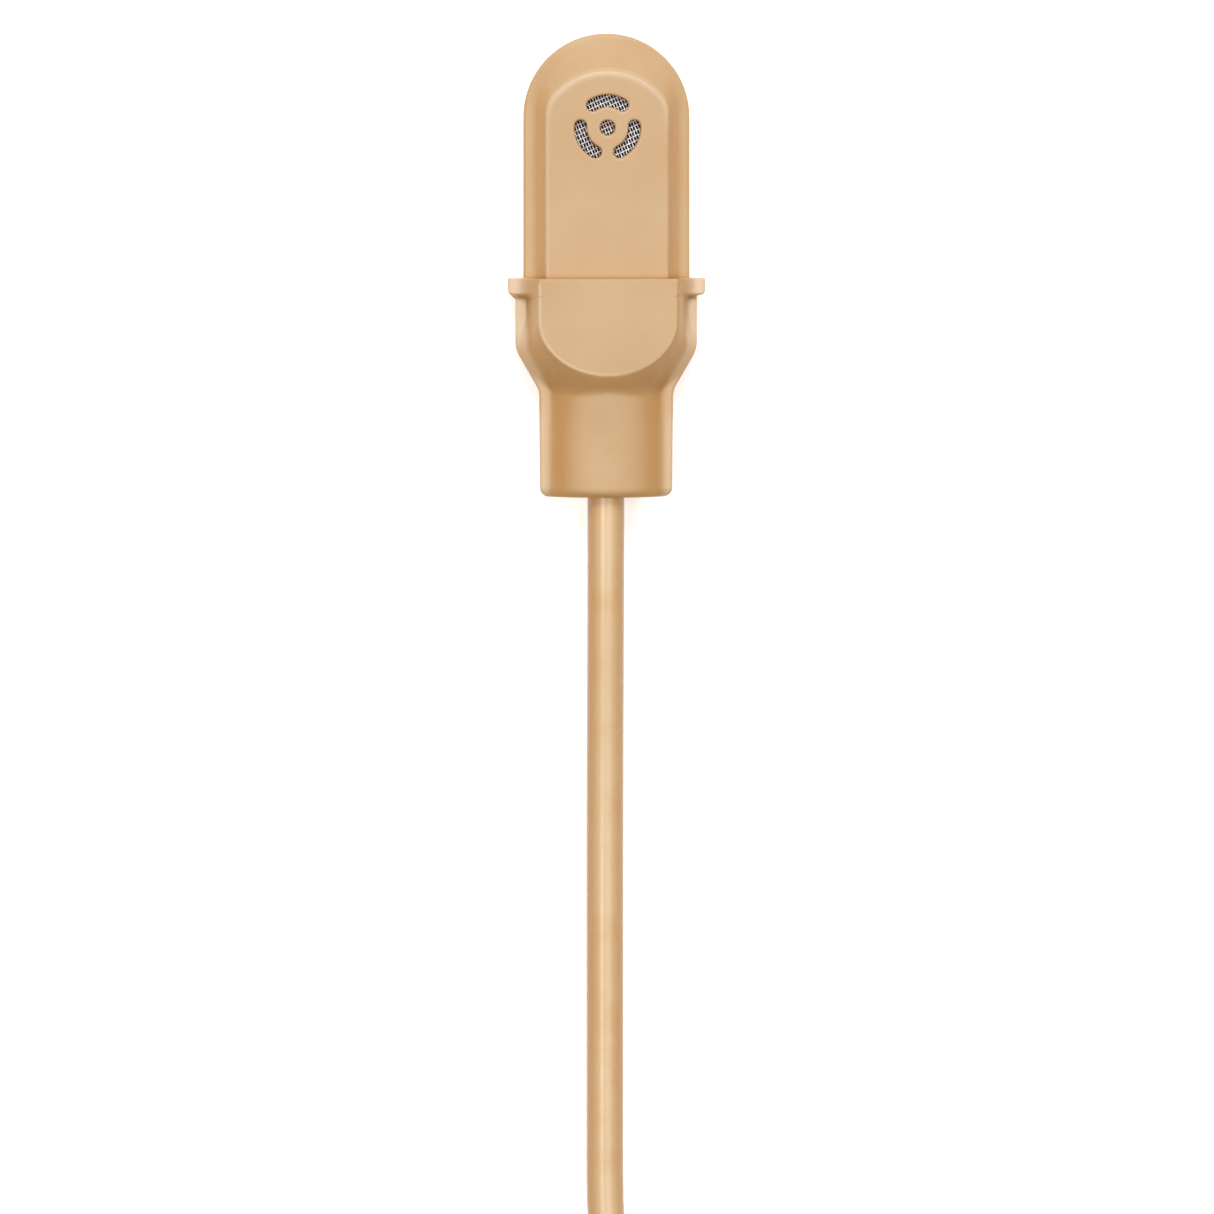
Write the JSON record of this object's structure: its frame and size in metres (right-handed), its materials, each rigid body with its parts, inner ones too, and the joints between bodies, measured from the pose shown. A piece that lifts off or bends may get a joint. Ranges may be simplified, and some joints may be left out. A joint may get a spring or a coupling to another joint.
{
  "type": "headset microphone",
  "caption": "Miniature body-worn stage microphone: flat oval head with a slotted round grille, tapered rubber boot, thin cable in a tied hank, and a locking mini-jack plug.",
  "frame": {"origin": "on the surface that the flat back of the boot lies on, below the middle of the head and boot together", "axes": "+Z out of the grille, +Y from the cable towards the tip of the head, X across"},
  "size_m": [0.016, 0.155, 0.009],
  "materials": {
    "case_plastic": "satin moulded beige",
    "boot_rubber": "matte moulded beige",
    "cable_jacket": "satin beige jacket",
    "tie_fabric": "woven hook and loop",
    "relief_rubber": "matte black",
    "nickel": "satin nickel plate",
    "gold": "polished gold plate",
    "black_insulator": "gloss black",
    "steel_mesh": "woven stainless wire",
    "membrane": "matt white film",
    "gasket_rubber": "matte",
    "can_aluminium": "drawn",
    "brass": "turned",
    "film": "metallised film",
    "holder_plastic": "moulded",
    "board": "solder mask",
    "chip": "moulded",
    "solder": "bright",
    "wire_white": "insulated wire",
    "wire_red": "insulated wire",
    "tinned_copper": "twisted strands",
    "spring_steel": "bright",
    "potting": "cured resin"
  },
  "bodies": {
    "microphone": {"backplate": "brass", "bias_wire": "wire_red", "boot": "boot_rubber", "cable": "cable_jacket", "cable_clamp": "tinned_copper", "cable_crimp": "nickel", "cable_hank": "cable_jacket", "cable_plug_end": "cable_jacket", "capsule_board": "board", "capsule_can": "can_aluminium", "capsule_collar": "gasket_rubber", "capsule_cushion": "gasket_rubber", "capsule_insulator": "holder_plastic", "contact_ring": "brass", "diaphragm": "film", "diaphragm_ring": "brass", "diaphragm_spacer": "holder_plastic", "front_shell": "case_plastic", "grille_mesh": "steel_mesh", "hank_tie": "tie_fabric", "inner_insulator": "black_insulator", "membrane_gasket": "gasket_rubber", "outer_insulator": "black_insulator", "plug_bias_wire": "wire_red", "plug_body": "nickel", "plug_relief": "relief_rubber", "plug_shell": "nickel", "plug_signal_wire": "wire_white", "rear_shell": "case_plastic", "ring_clip": "spring_steel", "ring_contact": "gold", "ring_lug": "solder", "shield_tail": "tinned_copper", "signal_wire": "wire_white", "sleeve_contact": "gold", "solder_joints": "solder", "tail_potting": "potting", "tip_contact": "gold", "tip_lug": "solder", "transistor": "chip", "water_membrane": "membrane"},
    "lock_ring": {"lock_ring": "nickel"}
  },
  "joints": [
    {"name": "lock_ring_turn", "type": "hinge", "parent": "microphone", "child": "lock_ring", "pos_m": [0.0004, -0.1285, 0.0045], "axis": [0, -1, 0], "continuous": true}
  ]
}
